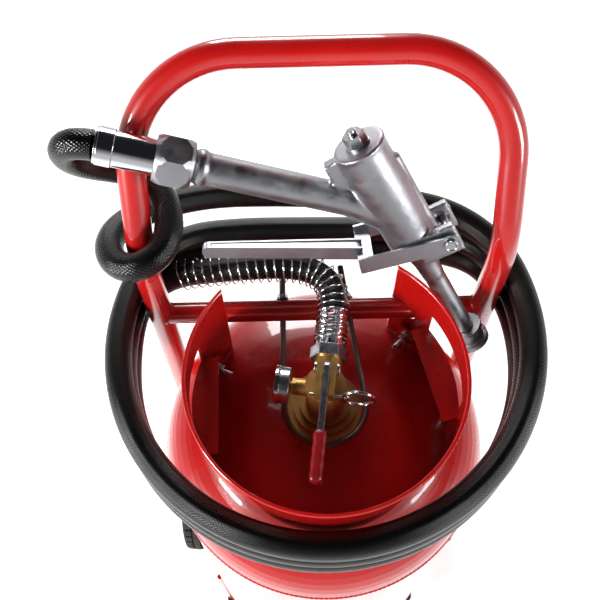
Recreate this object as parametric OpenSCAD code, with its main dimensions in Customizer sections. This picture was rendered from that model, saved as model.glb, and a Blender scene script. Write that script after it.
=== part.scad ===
// Wheeled dry-powder fire extinguisher, standing on two wheels and two front feet.
// Millimetres. Z is up, the wheels and the push handle are at the back (+Y), floor at Z = 0.
// Sub-parts are drawn about the cylinder's own axis, and on_axis() moves them to the part's frame.

/* [Cylinder] */
// Outer diameter of the pressure cylinder
tank_d = 340; // [330:1:346]
// Height of the cylinder between its two domes
barrel_h = 498; // [380:1:600]
// Height of the lowest point of the bottom dome above the floor
tank_lift = 130; // [128:1:145]
// Wall thickness of the cylinder
tank_wall = 3.5; // [2.5:0.5:5]

/* [Collar] */
// Outer diameter of the protective collar
collar_d = 260; // [250:1:270]
// Height of the collar's rim above the top of the dome
collar_rise = 112; // [105:1:118]
// Thickness of the collar's sheet
collar_t = 2; // [1.5:0.5:3]
// Width of the opening at the back of the collar
collar_gap = 170; // [150:1:180]
// Length of each hand window in the collar
window_w = 100; // [80:1:110]
// Height of each hand window
window_h = 34; // [28:1:38]

/* [Trolley] */
// Diameter of the handle tube
tube_d = 25.4; // [24:0.2:27]
// Distance between the two legs of the handle frame
leg_track = 330; // [326:1:340]
// Backward lean of the handle's upper part, in degrees
handle_lean = 36; // [30:1:40]
// Length of the handle measured along its lean
handle_reach = 178; // [165:1:200]

/* [Wheels] */
// Outer diameter of the tyres
wheel_d = 200; // [190:1:210]
// Width of the tyres
tyre_w = 45; // [38:1:48]
// Diameter of the axle
axle_d = 16; // [14:0.5:18]

/* [Hose] */
// Outside diameter of the hose
hose_d = 26; // [24:0.5:27]

/* [Hidden] */
$fn = 48;
red = "#b5161a";
steel = "#b9bcc0";
dark_steel = "#5a5654";
brass = "#b08a3c";
black = "#1c1c1c";
alloy = "#a9acb0";
run_gap = 0.05;
clear = 0.3;

// cylinder
tank_r = tank_d / 2;
knuckle_r = 50;
dome_h = 75;
knuckle_x = tank_r - knuckle_r;
crown_r = (knuckle_x * knuckle_x + dome_h * dome_h - knuckle_r * knuckle_r) / (2 * (dome_h - knuckle_r));
barrel_z0 = tank_lift + dome_h;
barrel_z1 = barrel_z0 + barrel_h;
apex_z = barrel_z1 + dome_h;
boss_r = 34;
thread_r = 24;
boss_top = apex_z + 14;

// collar
rim_z = apex_z + collar_rise;
collar_r = collar_d / 2;
collar_turn = 7;
window_az = 6;
window_drop = 40;
flap_in = 26;
lug_azimuths = [42, 156, 276];
lug_z = apex_z + 2;
bolt_r = 4;

// trolley frame
tube_r = tube_d / 2;
tube_wall = 2;
bend_thin = 0.05;
bend_lap = 0.2;
leg_x = leg_track / 2;
leg_y = 98;
leg_z0 = wheel_d / 2 - 22;
elbow_r = 90;
elbow_z = rim_z + 45 - elbow_r * tan(handle_lean / 2);
corner_r = 96;
bar_r = 11;
bar_z = apex_z + 40;
strap_t = 4.5;
strap_h = 40;
strap_zs = [barrel_z0 + 60, barrel_z1 - 90];

// wheels
wheel_r = wheel_d / 2;
axle_r = axle_d / 2;
axle_z = wheel_r;
wheel_x = 208;
hub_w = 50;
hub_r = 21;
bush_r = 12;
rim_r = wheel_r - 30;
axle_end = 244;
washer_t = 2.5;

// the cylinder's axis is moved forward so that the part's box is centred on Y = 0
bar_back = leg_y + elbow_r * (1 - cos(handle_lean))
    + (handle_reach - elbow_r * tan(handle_lean / 2)) * sin(handle_lean) + tube_r;
axis_y = -(max(leg_y + wheel_r, bar_back) - tank_r) / 2;

// front feet
foot_x = 148;
foot_y = -72;
foot_r = 12;
foot_rod_r = 4;
pad_h = 12;

// neck clamp
clamp_r = 3;
clamp_bend_r = 40;
clamp_y = -6;
clamp_z = bar_z;
clamp_end = 148;
clamp_toe = 7;

// valve
valve_turn = -7.5;
seal_t = 2.5;
flange_z = boss_top + seal_t;
port_z = rim_z - 45;
body_r = 19;
body_top = rim_z - 32;
ear_top = rim_z - 15;
stem_r = 4;
lever_t = 6;
pivot_y = 12;
pivot_z = rim_z - 22;
pivot_r = 3;
pull_pin_y = -12;
pull_pin_z = rim_z - 29.5;
pull_pin_r = 1.6;
lever_under = rim_z - 24;
lever_top = rim_z - 12;
grip_y0 = -50;
grip_y1 = -99;
ring_r = 15;
outlet_y0 = 30;
ferrule_y0 = 42;
ferrule_y1 = 80;
ferrule_r = 14.2;
gauge_x = -34;
gauge_r = 17.5;
gauge_t = 12;
poppet_z = port_z - 22;
spring_low = poppet_z - 22.3;

// hose
hose_r = hose_d / 2;
hose_bore = 9.5;
loop_r = leg_x + tube_r + hose_r + 8;
loop_y = 50;
loop_back = [117, 134];
loop_start = 165;
loop_end = 380;
loop_pitch = hose_d + 0.5;
loop_z = rim_z - 93;

// spray gun, drawn about the crossing of its inlet and nozzle axes, with +X out of the nozzle
gun_at = [65, 118, rim_z + 80];
gun_turn = [139, 56, -34];
inlet_angle = 135;
housing_r = 22.5;
gun_pin = [39, -31];
gun_pin_r = 4;
gun_tip = [-47, 165];

function unit(v) = v / norm(v);
function arc(cx, cy, r, a0, a1, n) =
    [for (i = [0 : n]) let (a = a0 + (a1 - a0) * i / n) [cx + r * cos(a), cy + r * sin(a)]];
// Height of the dome's outer face above the barrel at a distance from the axis
function dome_at(r) = dome_h - crown_r + sqrt(crown_r * crown_r - r * r);
// Half outline of the closed cylinder, set in by a distance
function tank_outline(inset) =
    let (split = acos(knuckle_x / (crown_r - knuckle_r)))
    concat(
        [[0, barrel_z1 + dome_h - inset]],
        arc(0, barrel_z1 + dome_h - crown_r, crown_r - inset, 88, split, 8),
        arc(knuckle_x, barrel_z1, knuckle_r - inset, split - 7, 0, 7),
        arc(knuckle_x, barrel_z0, knuckle_r - inset, 0, 7 - split, 7),
        arc(0, barrel_z0 - dome_h + crown_r, crown_r - inset, -split, -88, 8),
        [[0, barrel_z0 - dome_h + inset]]);

// Smooth curve through the points of a route
function bend(a, b, c, d, t) =
    0.5 * (2 * b + (c - a) * t + (2 * a - 5 * b + 4 * c - d) * t * t + (3 * b - a - 3 * c + d) * t * t * t);
function smooth(p, n) = concat(
    [for (i = [0 : len(p) - 2]) for (k = [0 : n - 1])
        bend(p[max(i - 1, 0)], p[i], p[i + 1], p[min(i + 2, len(p) - 1)], k / n)],
    [p[len(p) - 1]]);
function along(p) = [for (i = [0 : len(p) - 1]) unit(p[min(i + 1, len(p) - 1)] - p[max(i - 1, 0)])];
function carried(t, u, i) = i == len(t) ? []
    : let (v = unit(u - (u * t[i]) * t[i])) concat([v], carried(t, v, i + 1));

// The hose's route, about the cylinder's axis: from the valve's ferrule to the coil
lead_route = [
    [10, 79, port_z], [13, 97, port_z], [9, 115, port_z], [-8, 129, port_z], [-36, 135, port_z],
    [-75, 136, port_z - 3], [-112, 137, port_z - 10], [-148, 138, port_z - 20],
    [-178, 128, port_z - 32], [-195, 101, port_z - 44]];
// and from the coil, round the left leg of the handle and up to the gun
tail_route = [
    [187, 118, rim_z - 24], [165, 152, rim_z - 20], [125, 177, rim_z - 13], [70, 187, rim_z - 6],
    [10, 190, rim_z], [-50, 190, rim_z + 5], [-110, 183, rim_z + 14], [-160, 163, rim_z + 25],
    [-190, 134, rim_z + 38], [-195, 104, rim_z + 49], [-181, 80, rim_z + 57], [-160, 77, rim_z + 62],
    [-140, 92, rim_z + 67], [-136, 121, rim_z + 72], [-147, 150, rim_z + 78], [-171, 163, rim_z + 86],
    [-196, 160, rim_z + 98], [-211, 154, rim_z + 113], [-218, 149, rim_z + 129], [-217, 145, rim_z + 144],
    [-210, 142, rim_z + 155], [-200, 140, rim_z + 159], [-187, 139, rim_z + 156]];

module on_axis() { translate([0, axis_y, 0]) children(); }
module at_valve() { on_axis() rotate([0, 0, valve_turn]) children(); }
module at_gun() { on_axis() translate(gun_at) rotate(gun_turn) children(); }
// +Z of the children runs out along the gun's inlet
module at_inlet() { at_gun() rotate([0, 90 - inlet_angle, 0]) rotate([0, 0, 180]) children(); }
module both_sides() { for (s = [0, 1]) mirror([s, 0, 0]) children(); }
module tube_z(r, bore, h) { difference() { cylinder(r = r, h = h); translate([0, 0, -1]) cylinder(r = bore, h = h + 2); } }
module hex_bar(flats, h) { cylinder(r = flats / 2 / cos(30), h = h, $fn = 6); }
module along_x(p) { translate(p) rotate([0, 90, 0]) children(); }
module along_y(p) { translate(p) rotate([-90, 0, 0]) children(); }

module tank_solid(inset) { rotate_extrude() polygon(tank_outline(inset)); }

// A closed hose along a list of points
module hose(p, r, sides) {
    t = along(p);
    u = carried(t, [0.3, 0.2, 0.9], 0);
    n = len(p);
    polyhedron(
        points = [for (i = [0 : n - 1]) for (k = [0 : sides - 1])
            p[i] + r * (cos(360 * k / sides) * u[i] + sin(360 * k / sides) * cross(t[i], u[i]))],
        faces = concat(
            [[for (k = [0 : sides - 1]) k]],
            [[for (k = [sides - 1 : -1 : 0]) (n - 1) * sides + k]],
            [for (i = [0 : n - 2]) for (k = [0 : sides - 1])
                [i * sides + k, (i + 1) * sides + k, (i + 1) * sides + (k + 1) % sides, i * sides + (k + 1) % sides]]),
        convexity = 8);
}

// A round rod through a list of points, with ball joints at the bends
module rod(p, r) {
    for (i = [0 : len(p) - 2]) {
        v = p[i + 1] - p[i];
        translate(p[i]) rotate([0, acos(v.z / norm(v)), atan2(v.y, v.x)]) cylinder(r = r, h = norm(v));
    }
    for (i = [1 : len(p) - 2]) translate(p[i]) sphere(r = r);
}

// ---- cylinder ----
module tank_shell() {
    color(red) on_axis() difference() {
        tank_solid(0);
        tank_solid(tank_wall);
        translate([0, 0, barrel_z1]) cylinder(r = boss_r, h = dome_h + 10);
    }
}
module neck_boss() {
    color(red) on_axis() translate([0, 0, apex_z - 10]) tube_z(boss_r, thread_r, boss_top - apex_z + 10);
}

// ---- collar ----
module collar() {
    base_z = barrel_z1 + dome_at(collar_r - collar_t) + clear;
    color(red) on_axis() rotate([0, 0, collar_turn]) difference() {
        union() {
            translate([0, 0, base_z]) tube_z(collar_r, collar_r - collar_t, rim_z - base_z);
            // rolled rim
            translate([0, 0, rim_z - 3]) rotate_extrude() translate([collar_r - collar_t / 2, 0]) circle(r = 2);
            // shelves folded in at the foot of each hand window
            for (a = [window_az, 180 - window_az]) rotate([0, 0, a]) intersection() {
                translate([collar_r - flap_in, -window_w / 2, rim_z - window_drop - window_h])
                    cube([flap_in, window_w, collar_t]);
                translate([0, 0, base_z]) cylinder(r = collar_r - collar_t / 2, h = rim_z - base_z);
            }
        }
        translate([-collar_gap / 2, 0, base_z - 5]) cube([collar_gap, collar_d, rim_z]);
        rotate([0, 0, -collar_turn]) along_x([-leg_x, leg_y, bar_z]) cylinder(r = bar_r + 1, h = leg_track);
        for (a = [window_az, 180 - window_az]) rotate([0, 0, a])
            translate([collar_r - flap_in - 1, -window_w / 2 + 4, rim_z - window_drop - window_h + collar_t])
                cube([flap_in + 6, window_w - 8, window_h]);
        for (a = lug_azimuths) rotate([0, 0, a - collar_turn])
            along_x([collar_r - 20, 0, lug_z]) cylinder(r = bolt_r, h = 40);
    }
}
module collar_lugs() {
    color(red) on_axis() for (a = lug_azimuths) difference() {
        rotate([0, 0, a]) difference() {
            translate([collar_r - collar_t - 6, -14, barrel_z1 + 20]) cube([4, 28, lug_z + 12 - barrel_z1 - 20]);
            along_x([collar_r - 20, 0, lug_z]) cylinder(r = bolt_r, h = 40);
        }
        tank_solid(0);
    }
}
module collar_bolts() {
    head = 5.5;
    nut = 6.5;
    reach = 26;
    color(steel) on_axis() for (a = lug_azimuths) rotate([0, 0, a]) {
        along_x([collar_r - reach, 0, lug_z]) cylinder(r = bolt_r - run_gap, h = reach + 0.4);
        along_x([collar_r + 0.4, 0, lug_z]) hex_bar(13, head);
        along_x([collar_r - collar_t - 6 - 1.6, 0, lug_z]) tube_z(8, bolt_r - run_gap, 1.6);
        along_x([collar_r - collar_t - 6 - 1.6 - nut, 0, lug_z]) difference() {
            hex_bar(13, nut);
            translate([0, 0, -1]) cylinder(r = bolt_r - run_gap, h = nut + 2);
        }
    }
}

// ---- trolley frame ----
// Cross-section of the frame's tube
module tube_section(inset = 0) { difference() { circle(r = tube_r - inset); circle(r = tube_r - tube_wall + inset); } }
module frame_half() {
    rise = handle_reach - elbow_r * tan(handle_lean / 2) - corner_r;
    difference() {
        translate([leg_x, leg_y, leg_z0]) linear_extrude(elbow_z - leg_z0 + bend_lap) tube_section();
        along_x([leg_x - 30, leg_y, axle_z]) cylinder(r = axle_r, h = 60);
    }
    translate([leg_x, leg_y + elbow_r, elbow_z]) rotate([90, 0, -90])
        rotate_extrude(angle = handle_lean) translate([elbow_r, 0]) tube_section(bend_thin);
    translate([leg_x, leg_y + elbow_r * (1 - cos(handle_lean)), elbow_z + elbow_r * sin(handle_lean)])
        rotate([-handle_lean, 0, 0]) {
            translate([0, 0, -bend_lap]) linear_extrude(rise + 2 * bend_lap) tube_section();
            translate([-corner_r, 0, rise]) rotate([90, 0, 0])
                rotate_extrude(angle = 90) translate([corner_r, 0]) tube_section(bend_thin);
        }
}
module handle_frame() {
    rise = handle_reach - elbow_r * tan(handle_lean / 2) - corner_r;
    color(red) on_axis() {
        both_sides() frame_half();
        translate([0, leg_y + elbow_r * (1 - cos(handle_lean)), elbow_z + elbow_r * sin(handle_lean)])
            rotate([-handle_lean, 0, 0]) translate([corner_r - leg_x - bend_lap, 0, rise + corner_r]) rotate([0, 90, 0])
                linear_extrude(2 * (leg_x - corner_r + bend_lap)) tube_section();
    }
}
module neck_bar() {
    color(red) on_axis() difference() {
        along_x([-leg_x, leg_y, bar_z]) cylinder(r = bar_r, h = leg_track);
        both_sides() translate([leg_x, leg_y, bar_z - 50]) cylinder(r = tube_r, h = 100);
        for (p = [clamp_left, clamp_right]) rod([p[0], p[1]], clamp_r);
    }
}
module rear_straps() {
    span = atan2(leg_y, leg_x);
    color(red) on_axis() for (z = strap_zs) translate([0, 0, z]) difference() {
        union() {
            rotate([0, 0, span]) rotate_extrude(angle = 180 - 2 * span)
                translate([tank_r, -strap_h / 2]) square([strap_t, strap_h]);
            both_sides() rotate([0, 0, span]) translate([tank_r - 2, -3, -strap_h / 2])
                cube([norm([leg_x, leg_y]) - tank_r, 10, strap_h]);
        }
        translate([0, 0, -strap_h]) cylinder(r = tank_r, h = 2 * strap_h);
        both_sides() translate([leg_x, leg_y, -strap_h]) cylinder(r = tube_r, h = 2 * strap_h);
    }
}
module front_feet() {
    color(red) on_axis() difference() {
        both_sides() translate([foot_x, foot_y, pad_h - 6 + foot_r]) {
            for (s = [-1, 1]) translate([s * (foot_r - foot_rod_r), 0, -bend_lap])
                cylinder(r = foot_rod_r, h = barrel_z0 + 30 - pad_h);
            // bottom of the U
            rotate([-90, 0, 0]) rotate_extrude(angle = 180) translate([foot_r - foot_rod_r, 0])
                circle(r = foot_rod_r - bend_thin);
        }
        tank_solid(0);
    }
}
module foot_pads() {
    color(black) on_axis() both_sides() translate([foot_x, foot_y, 0]) difference() {
        union() {
            cylinder(r = foot_r + 4, h = 5);
            cylinder(r = foot_r + 2.5, h = pad_h + 8);
        }
        translate([0, 0, pad_h - 6]) cylinder(r = foot_r, h = 40);
    }
}

// ---- wheels ----
module axle() {
    color(steel) on_axis() difference() {
        along_x([-axle_end, leg_y, axle_z]) cylinder(r = axle_r, h = 2 * axle_end);
        both_sides() translate([axle_end - 5, leg_y, axle_z - 20]) cylinder(r = 2, h = 40);
    }
}
module axle_spacers() {
    inner = leg_x + tube_r;
    color(steel) on_axis() both_sides() difference() {
        along_x([leg_x + 3, leg_y, axle_z]) tube_z(bush_r, axle_r, wheel_x - hub_w / 2 - clear - leg_x - 3);
        translate([leg_x, leg_y, axle_z - 30]) cylinder(r = tube_r, h = 60);
    }
}
module wheel_disc() {
    color("#d8d8d6") on_axis() along_x([wheel_x, leg_y, axle_z]) difference() {
        rotate_extrude() polygon([
            [bush_r, -hub_w / 2], [hub_r, -hub_w / 2], [hub_r + 2, -6], [hub_r + 14, -2],
            [rim_r - 20, 5], [rim_r - 8, 3], [rim_r - 6, -tyre_w / 2 + 8], [rim_r, -tyre_w / 2 + 5],
            [rim_r, tyre_w / 2 - 5], [rim_r - 6, tyre_w / 2 - 8], [rim_r - 8, 7], [rim_r - 20, 9],
            [hub_r + 14, 2], [hub_r + 2, 6], [hub_r, hub_w / 2], [bush_r, hub_w / 2]]);
        for (a = [0 : 72 : 359]) rotate([0, 0, a]) translate([(hub_r + rim_r) / 2, 0, -30])
            cylinder(r = 7, h = 60);
    }
}
module tyre() {
    color(black) on_axis() along_x([wheel_x, leg_y, axle_z]) rotate_extrude() union() {
        translate([rim_r, -tyre_w / 2 + 5]) square([16, tyre_w - 10]);
        translate([wheel_r - 18, -tyre_w / 2 + 2]) square([12, tyre_w - 4]);
        intersection() {
            translate([wheel_r - tyre_w, 0]) circle(r = tyre_w);
            translate([wheel_r - 18, -tyre_w / 2]) square([18, tyre_w]);
        }
    }
}
module wheel_bush() {
    color("#e8e6dc") on_axis() along_x([wheel_x - hub_w / 2, leg_y, axle_z]) tube_z(bush_r, axle_r + run_gap, hub_w);
}
module wheel_disc_left() { mirror([1, 0, 0]) wheel_disc(); }
module wheel_disc_right() { wheel_disc(); }
module tyre_left() { mirror([1, 0, 0]) tyre(); }
module tyre_right() { tyre(); }
module wheel_bush_left() { mirror([1, 0, 0]) wheel_bush(); }
module wheel_bush_right() { wheel_bush(); }
module axle_washers() {
    color(steel) on_axis() both_sides()
        along_x([wheel_x + hub_w / 2 + clear, leg_y, axle_z]) tube_z(15, axle_r, washer_t);
}
module split_pins() {
    color(steel) on_axis() both_sides() translate([axle_end - 5, leg_y, axle_z]) {
        translate([0, 0, -axle_r - 8]) cylinder(r = 2, h = 2 * axle_r + 12);
        translate([0, 0, axle_r + 5.5]) rotate([0, 90, 0]) rotate_extrude() translate([4, 0]) circle(r = 1.6);
    }
}

// ---- neck clamp ----
clamp_left = [[-clamp_bend_r, clamp_y, clamp_z], [-clamp_bend_r, clamp_end, clamp_z]];
clamp_right = [
    [clamp_bend_r, clamp_y, clamp_z],
    [clamp_bend_r - (clamp_end - clamp_y) * tan(clamp_toe), clamp_end, clamp_z]];
module neck_clamp() {
    color(dark_steel) on_axis() {
        along_y(clamp_left[0]) cylinder(r = clamp_r, h = clamp_end - clamp_y);
        rod(clamp_right, clamp_r);
        translate([0, clamp_y, clamp_z]) rotate([0, 0, 180])
            rotate_extrude(angle = 180) translate([clamp_bend_r, 0]) circle(r = clamp_r - bend_thin);
    }
}
module neck_clamp_nuts() {
    seat = leg_y + bar_r;
    nut = 5;
    washer = 1.6;
    right_x = clamp_bend_r - (seat - clamp_y) * tan(clamp_toe);
    color(steel) on_axis() difference() {
        for (s = [[-clamp_bend_r, 0], [right_x, clamp_toe]]) along_y([s[0], seat, clamp_z]) rotate([0, -s[1], 0]) {
            cylinder(r = 7, h = washer);
            translate([0, 0, washer]) hex_bar(10, nut);
        }
        for (p = [clamp_left, clamp_right]) rod([p[0], p[1]], clamp_r);
        along_x([-leg_x, leg_y, bar_z]) cylinder(r = bar_r, h = leg_track);
    }
}

// ---- valve ----
module neck_seal() {
    color(black) at_valve() translate([0, 0, boss_top]) tube_z(boss_r - 3, thread_r + 1, seal_t);
}
module valve_body() {
    color(brass) at_valve() difference() {
        union() {
            translate([0, 0, apex_z - 8]) cylinder(r = thread_r, h = flange_z - apex_z + 8);
            translate([0, 0, flange_z]) cylinder(r = 37, h = 5);
            translate([0, 0, flange_z + 5]) cylinder(r = 31, h = 5);
            translate([0, 0, flange_z + 10]) cylinder(r = 25, h = 7);
            translate([0, 0, flange_z + 17]) cylinder(r = body_r, h = body_top - flange_z - 17);
            along_y([0, 0, port_z]) cylinder(r = 13, h = outlet_y0);
            translate([gauge_x + 6, 0, port_z]) rotate([0, 90, 0]) cylinder(r = 8, h = 20);
            both_sides() translate([lever_t / 2 + 0.5, -17, body_top - 4]) cube([5.5, 38, ear_top - body_top + 4]);
        }
        // bore from the cylinder, valve seat, stem guide and outlet
        translate([0, 0, apex_z - 9]) cylinder(r = 10, h = poppet_z - apex_z + 9);
        translate([0, 0, poppet_z - 1]) cylinder(r = 7, h = port_z - poppet_z + 9);
        translate([0, 0, port_z]) cylinder(r = stem_r + run_gap, h = 60);
        along_y([0, 0, port_z]) cylinder(r = hose_bore - 1.5, h = 60);
        translate([gauge_x, 0, port_z]) rotate([0, 90, 0]) cylinder(r = 3, h = 34);
        along_x([-20, pivot_y, pivot_z]) cylinder(r = pivot_r, h = 40);
        along_x([-20, pull_pin_y, pull_pin_z]) cylinder(r = pull_pin_r + run_gap, h = 40);
    }
}
module siphon_tube() {
    foot_z = tank_lift + tank_wall + 20;
    color(steel) at_valve() difference() {
        union() {
            translate([0, 0, foot_z]) cylinder(r = 14, h = apex_z - 8 - foot_z);
            translate([0, 0, apex_z - 9]) cylinder(r = 10, h = spring_low - 1 - apex_z + 9);
        }
        translate([0, 0, foot_z - 1]) cylinder(r = 11.5, h = apex_z - 14 - foot_z);
        translate([0, 0, foot_z]) cylinder(r = 7.5, h = apex_z);
        along_x([-20, 0, foot_z - 4]) cylinder(r = 10, h = 40);
    }
}
module valve_stem() {
    color(steel) at_valve() {
        translate([0, 0, poppet_z - 2.3]) cylinder(r = stem_r, h = lever_under - clear - poppet_z + 2.3);
        translate([0, 0, poppet_z - 6.3]) cylinder(r = 9, h = 4);
        translate([0, 0, poppet_z - 2.3]) tube_z(9, stem_r, 2);
    }
}
module valve_spring() {
    wire = 0.8;
    color(steel) at_valve() for (k = [0 : 3])
        translate([0, 0, spring_low + wire - 1 + 4.9 * k]) rotate_extrude() translate([8.4, 0]) circle(r = wire, $fn = 16);
}
module valve_lever() {
    color(steel) at_valve() difference() {
        union() {
            translate([-lever_t / 2, grip_y1 + 12, lever_under]) cube([lever_t, pivot_y - grip_y1 - 12, lever_top - lever_under]);
            along_x([-lever_t / 2, pivot_y, pivot_z]) cylinder(r = 6, h = lever_t);
        }
        along_x([-10, pivot_y, pivot_z]) cylinder(r = pivot_r + run_gap, h = 20);
        // notch that clears the safety pin over the whole stroke
        translate([-10, pull_pin_y - 4, lever_under - 1]) cube([20, 8, 5]);
    }
}
module lever_grip() {
    h = lever_top - lever_under + 5;
    color("#c8202a") at_valve() difference() {
        intersection() {
            translate([0, grip_y0, (lever_top + lever_under) / 2]) rotate([90, 0, 0]) cylinder(r = 9.5, h = grip_y0 - grip_y1);
            translate([-6, grip_y1, lever_under - 2.5]) cube([12, grip_y0 - grip_y1, h]);
        }
        translate([-lever_t / 2, grip_y1 + 12, lever_under]) cube([lever_t, 200, lever_top - lever_under]);
    }
}
module lever_pivot() {
    color(steel) at_valve() {
        along_x([-10.5, pivot_y, pivot_z]) cylinder(r = pivot_r, h = 21);
        along_x([9, pivot_y, pivot_z]) tube_z(5.5, pivot_r, 3);
        along_x([-12, pivot_y, pivot_z]) tube_z(5.5, pivot_r, 3);
    }
}
module safety_pin() {
    end_x = 17;
    color(steel) at_valve() translate([0, pull_pin_y, pull_pin_z]) {
        along_x([-14, 0, 0]) cylinder(r = pull_pin_r, h = end_x + 14);
        translate([end_x + ring_r, 0, 0]) rotate([90, 0, 0]) rotate_extrude() translate([ring_r, 0]) circle(r = 1.2);
        translate([end_x, 0, 0]) sphere(r = 2.6);
    }
}
module gauge_stem() {
    color(brass) at_valve() translate([gauge_x, 0, port_z]) rotate([0, 90, 0]) difference() {
        union() {
            cylinder(r = 5, h = 2);
            translate([0, 0, 2]) hex_bar(14, 4);
        }
        translate([0, 0, -1]) cylinder(r = 1.5, h = 10);
    }
}
module gauge_case() {
    color(steel) at_valve() translate([gauge_x - gauge_t, 0, port_z]) rotate([0, 90, 0]) difference() {
        cylinder(r = gauge_r, h = gauge_t);
        translate([0, 0, -1]) cylinder(r = gauge_r - 1.2, h = gauge_t - 1);
        cylinder(r = 1.5, h = gauge_t + 1);
    }
}
module gauge_dial() {
    color("white") at_valve() translate([gauge_x - 3.2, 0, port_z]) rotate([0, 90, 0]) tube_z(gauge_r - 1.2, 1.5, 1.2);
}
module gauge_needle() {
    color(black) at_valve() translate([gauge_x - 5, 0, port_z]) rotate([0, 90, 0]) rotate([0, 0, 180]) {
        cylinder(r = 2.2, h = 1);
        cylinder(r = 1.2, h = 3.5);
        translate([0, -0.6, 0]) cube([13, 1.2, 0.8]);
        translate([-6, -1, 0]) cube([6, 2, 0.8]);
    }
}
module gauge_lens() {
    color([0.85, 0.9, 0.92, 0.35]) at_valve() translate([gauge_x - gauge_t + 1.2, 0, port_z]) rotate([0, 90, 0])
        cylinder(r = gauge_r - 1.2, h = 1.8);
}

// ---- hose and its fittings ----
module outlet_nut() {
    color(steel) at_valve() along_y([0, outlet_y0, port_z]) difference() {
        hex_bar(32, ferrule_y0 - outlet_y0);
        translate([0, 0, -1]) cylinder(r = hose_bore - 1.5, h = 30);
    }
}
module outlet_ferrule() {
    color(steel) at_valve() along_y([0, ferrule_y0, port_z]) difference() {
        union() {
            cylinder(r = ferrule_r, h = ferrule_y1 - ferrule_y0);
            for (k = [0 : 3]) translate([0, 0, 8 + 7 * k]) cylinder(r = ferrule_r + 0.8, h = 3);
        }
        translate([0, 0, -1]) cylinder(r = hose_bore - 1.5, h = 60);
    }
}
// bright wire wound over the first stretch of hose, drawn as its outer sleeve
module spring_guard() {
    wire = 1.6;
    route = smooth([for (i = [0 : 6]) lead_route[i]], 3);
    t = along(route);
    u = carried(t, [0.3, 0.2, 0.9], 0);
    color(steel) on_axis() for (i = [1 : len(route) - 1]) {
        az = atan2(t[i].y, t[i].x);
        tilt = acos(t[i].z);
        translate(route[i]) rotate([0, tilt, az])
            rotate_extrude() translate([hose_r + wire, 0]) circle(r = wire, $fn = 16);
    }
}
module hose_lead() { color(black) on_axis() hose(smooth(lead_route, 3), hose_r, 10); }
module hose_tail() { color(black) on_axis() hose(smooth(tail_route, 2), hose_r, 10); }
// Distance of the loops from their centre: a circle flattened behind the legs
// (the loops start at loop_start and the last one leaves for the gun at loop_end)
function loop_low(a) = loop_z - hose_r + loop_pitch * (a - loop_start) / 360;
function loop_high(a) = loop_low(a) + hose_d + loop_pitch * (a < loop_end ? 2 : 1);
function loop_at(a, back) = loop_r / pow(1 + pow(max(0, loop_r * sin(a) / back), 8), 1 / 8);
module hose_coil() {
    n = 48;
    section = [[0, -hose_r, 0], [0, -hose_r, 1], [1, hose_r, 1], [1, hose_r, 0]];
    color(black) on_axis() translate([0, loop_y, 0]) polyhedron(
        points = [for (i = [0 : n - 1]) for (s = section)
            let (a = loop_start + 360 * i / n, r = loop_at(a, loop_back[s[0]]) + s[1])
            [r * cos(a), r * sin(a), s[2] == 0 ? loop_low(a) : loop_high(a)]],
        faces = [for (i = [0 : n - 1]) for (k = [0 : 3]) let (j = (i + 1) % n, m = (k + 1) % 4)
            [4 * i + k, 4 * i + m, 4 * j + m, 4 * j + k]],
        convexity = 6);
}

// ---- spray gun ----
module gun_ferrule() {
    color(steel) at_inlet() translate([0, 0, 214]) difference() {
        union() {
            cylinder(r = 15.5, h = 49);
            translate([0, 0, 34]) cylinder(r = 16.3, h = 13);
        }
        translate([0, 0, -1]) cylinder(r = hose_bore, h = 60);
    }
}
module gun_nut() {
    color(steel) at_inlet() translate([0, 0, 182]) difference() {
        intersection() {
            hex_bar(41, 32);
            translate([0, 0, -6]) cylinder(r1 = 16, r2 = 40, h = 24 * 2);
            translate([0, 0, -10]) cylinder(r1 = 40, r2 = 16, h = 48);
        }
        translate([0, 0, -1]) cylinder(r = hose_bore, h = 60);
    }
}
module gun_inlet() {
    color(alloy) at_inlet() difference() {
        union() {
            translate([0, 0, 16]) cylinder(r = 14, h = 166);
            translate([0, 0, 172]) cylinder(r = 16, h = 6);
            translate([0, 0, 16]) cylinder(r1 = 19, r2 = 14, h = 30);
            translate([0, 14, 74]) rotate([90, 0, 0]) cylinder(r = 5, h = 8);
        }
        translate([0, 0, 10]) cylinder(r = hose_bore, h = 180);
        at_gun_local() translate([-90, 0, 0]) rotate([0, 90, 0]) cylinder(r = housing_r, h = 200);
        at_gun_local() housing_web();
    }
}
// undoes at_inlet's turn, so that the children stand in the gun's own frame
module at_gun_local() { rotate([0, 0, 180]) rotate([0, inlet_angle - 90, 0]) children(); }
// flat web along the inlet's side of the housing
module housing_web() { translate([-74, -6, 0]) cube([44, 12, housing_r + 12]); }
module gun_body() {
    ear_y = 17;
    color(alloy) at_gun() difference() {
        union() {
            translate([-78, 0, 0]) rotate([0, 90, 0]) cylinder(r = housing_r, h = 116);
            translate([38, 0, 0]) rotate([0, 90, 0]) cylinder(r1 = housing_r, r2 = 10, h = 20);
            translate([50, 0, 0]) rotate([0, 90, 0]) cylinder(r = 10, h = 112);
            housing_web();
            // ears that carry the lever's pin
            for (s = [-1, 1]) translate([24, s * ear_y - 4, -40]) cube([30, 8, 40]);
            translate([30, -ear_y, -25]) cube([18, 2 * ear_y, 12]);
        }
        translate([-68, 0, 0]) rotate([0, 90, 0]) cylinder(r = housing_r - 5, h = 100);
        translate([-90, 0, 0]) rotate([0, 90, 0]) cylinder(r = 6, h = 40);
        rotate([0, 90, 0]) cylinder(r = 6.5, h = 200);
        rotate([0, 90 - inlet_angle, 0]) rotate([0, 0, 180]) cylinder(r = hose_bore, h = 60);
        translate([gun_pin[0], -40, gun_pin[1]]) rotate([-90, 0, 0]) cylinder(r = gun_pin_r, h = 80);
    }
}
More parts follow.
